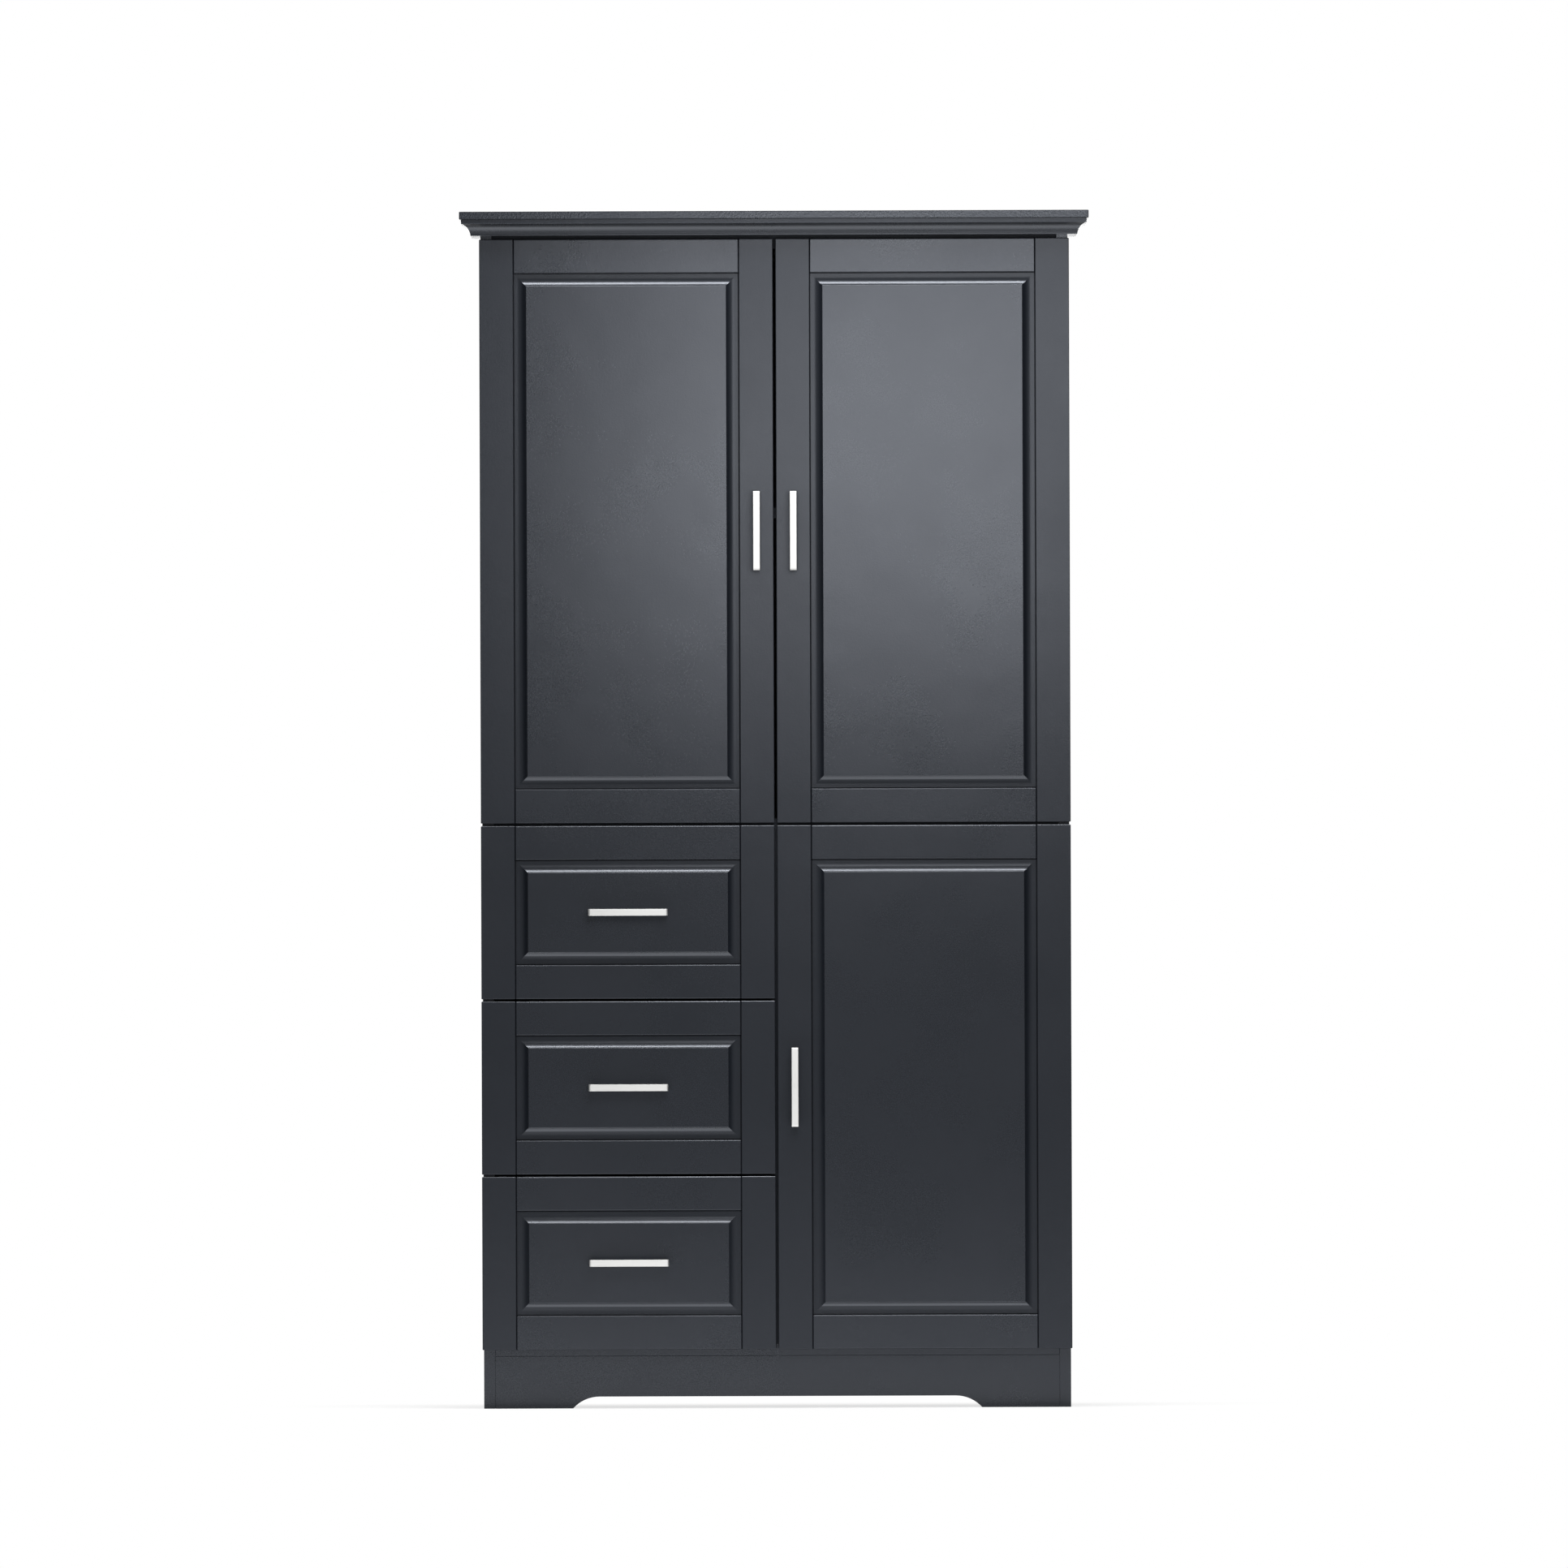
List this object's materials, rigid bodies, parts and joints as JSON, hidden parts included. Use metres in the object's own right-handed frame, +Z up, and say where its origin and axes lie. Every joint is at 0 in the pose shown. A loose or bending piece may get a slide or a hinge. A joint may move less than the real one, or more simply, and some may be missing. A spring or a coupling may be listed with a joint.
{
  "type": "tall storage cabinet",
  "caption": "Tall charcoal-painted storage cabinet with a crown, raised-panel doors over drawers and a low door, metal bar pulls and an arched plinth.",
  "frame": {"origin": "on the floor under the middle of the overall box", "axes": "+X to the right across the front, +Y towards the back, +Z up"},
  "size_m": [0.831, 0.498, 1.58],
  "materials": {
    "painted_board": "satin charcoal paint",
    "drawer_board": "matt dark foil",
    "fibreboard": "raw hardboard behind, dark paint in front",
    "satin_nickel": "satin",
    "nickel_plate": "bright nickel plate",
    "runner_steel": "grey powder coat",
    "nylon": "moulded"
  },
  "bodies": {
    "carcass": {"left_side_panel": "painted_board", "right_side_panel": "painted_board", "top_board": "painted_board", "top_front_rail": "painted_board", "middle_panel": "painted_board", "bottom_panel": "painted_board", "lower_divider": "painted_board", "kick_board": "painted_board", "crown_front_moulding": "painted_board", "crown_left_moulding": "painted_board", "crown_right_moulding": "painted_board", "upper_back_board": "fibreboard", "lower_back_board": "fibreboard", "upper_shelf": "painted_board", "lower_shelf": "painted_board", "shelf_pins": "nickel_plate", "cabinet_runners": "runner_steel", "hinge_arms": "nickel_plate", "hinge_plates": "nickel_plate"},
    "upper_left_door": {"upper_left_door_stiles": "painted_board", "upper_left_door_rails": "painted_board", "upper_left_door_panel": "painted_board", "upper_left_door_pull": "satin_nickel", "upper_left_door_hinge_cups": "nickel_plate"},
    "upper_right_door": {"upper_right_door_stiles": "painted_board", "upper_right_door_rails": "painted_board", "upper_right_door_panel": "painted_board", "upper_right_door_pull": "satin_nickel", "upper_right_door_hinge_cups": "nickel_plate"},
    "lower_door": {"lower_door_stiles": "painted_board", "lower_door_rails": "painted_board", "lower_door_panel": "painted_board", "lower_door_pull": "satin_nickel", "lower_door_hinge_cups": "nickel_plate"},
    "top_drawer": {"top_drawer_front_frame": "painted_board", "top_drawer_front_panel": "painted_board", "top_drawer_pull": "satin_nickel", "top_drawer_box_walls": "drawer_board", "top_drawer_box_bottom": "drawer_board", "top_drawer_runners": "runner_steel"},
    "top_drawer_front_roller_pair": {"top_drawer_front_rollers": "nylon"},
    "top_drawer_rear_roller_pair": {"top_drawer_rear_rollers": "nylon"},
    "middle_drawer": {"middle_drawer_front_frame": "painted_board", "middle_drawer_front_panel": "painted_board", "middle_drawer_pull": "satin_nickel", "middle_drawer_box_walls": "drawer_board", "middle_drawer_box_bottom": "drawer_board", "middle_drawer_runners": "runner_steel"},
    "middle_drawer_front_roller_pair": {"middle_drawer_front_rollers": "nylon"},
    "middle_drawer_rear_roller_pair": {"middle_drawer_rear_rollers": "nylon"},
    "bottom_drawer": {"bottom_drawer_front_frame": "painted_board", "bottom_drawer_front_panel": "painted_board", "bottom_drawer_pull": "satin_nickel", "bottom_drawer_box_walls": "drawer_board", "bottom_drawer_box_bottom": "drawer_board", "bottom_drawer_runners": "runner_steel"},
    "bottom_drawer_front_roller_pair": {"bottom_drawer_front_rollers": "nylon"},
    "bottom_drawer_rear_roller_pair": {"bottom_drawer_rear_rollers": "nylon"}
  },
  "joints": [
    {"name": "upper_left_door_swing", "type": "hinge", "parent": "carcass", "child": "upper_left_door", "pos_m": [-0.3825, -0.2105, 1.15795], "axis": [0, 0, -1], "range_deg": [0, 100]},
    {"name": "upper_right_door_swing", "type": "hinge", "parent": "carcass", "child": "upper_right_door", "pos_m": [0.3825, -0.2105, 1.15795], "axis": [0, 0, 1], "range_deg": [0, 100]},
    {"name": "lower_door_swing", "type": "hinge", "parent": "carcass", "child": "lower_door", "pos_m": [0.3825, -0.2105, 0.42335], "axis": [0, 0, 1], "range_deg": [0, 100]},
    {"name": "top_drawer_slide", "type": "slide", "parent": "carcass", "child": "top_drawer", "axis": [0, -1, 0], "range_m": [0, 0.32]},
    {"name": "top_drawer_front_roll", "type": "hinge", "parent": "carcass", "child": "top_drawer_front_roller_pair", "pos_m": [-0.19, -0.184, 0.5714], "axis": [1, 0, 0], "continuous": true},
    {"name": "top_drawer_rear_roll", "type": "hinge", "parent": "top_drawer", "child": "top_drawer_rear_roller_pair", "pos_m": [-0.19, 0.186, 0.5706], "axis": [1, 0, 0], "continuous": true},
    {"name": "middle_drawer_slide", "type": "slide", "parent": "carcass", "child": "middle_drawer", "axis": [0, -1, 0], "range_m": [0, 0.32]},
    {"name": "middle_drawer_front_roll", "type": "hinge", "parent": "carcass", "child": "middle_drawer_front_roller_pair", "pos_m": [-0.19, -0.184, 0.3399], "axis": [1, 0, 0], "continuous": true},
    {"name": "middle_drawer_rear_roll", "type": "hinge", "parent": "middle_drawer", "child": "middle_drawer_rear_roller_pair", "pos_m": [-0.19, 0.186, 0.3391], "axis": [1, 0, 0], "continuous": true},
    {"name": "bottom_drawer_slide", "type": "slide", "parent": "carcass", "child": "bottom_drawer", "axis": [0, -1, 0], "range_m": [0, 0.32]},
    {"name": "bottom_drawer_front_roll", "type": "hinge", "parent": "carcass", "child": "bottom_drawer_front_roller_pair", "pos_m": [-0.19, -0.184, 0.1084], "axis": [1, 0, 0], "continuous": true},
    {"name": "bottom_drawer_rear_roll", "type": "hinge", "parent": "bottom_drawer", "child": "bottom_drawer_rear_roller_pair", "pos_m": [-0.19, 0.186, 0.1076], "axis": [1, 0, 0], "continuous": true}
  ],
  "couplings": [
    {"joint": "top_drawer_front_roll", "follows": "top_drawer_slide", "rad_per_m": 111.11},
    {"joint": "top_drawer_rear_roll", "follows": "top_drawer_slide", "rad_per_m": 111.11},
    {"joint": "middle_drawer_front_roll", "follows": "middle_drawer_slide", "rad_per_m": 111.11},
    {"joint": "middle_drawer_rear_roll", "follows": "middle_drawer_slide", "rad_per_m": 111.11},
    {"joint": "bottom_drawer_front_roll", "follows": "bottom_drawer_slide", "rad_per_m": 111.11},
    {"joint": "bottom_drawer_rear_roll", "follows": "bottom_drawer_slide", "rad_per_m": 111.11}
  ]
}
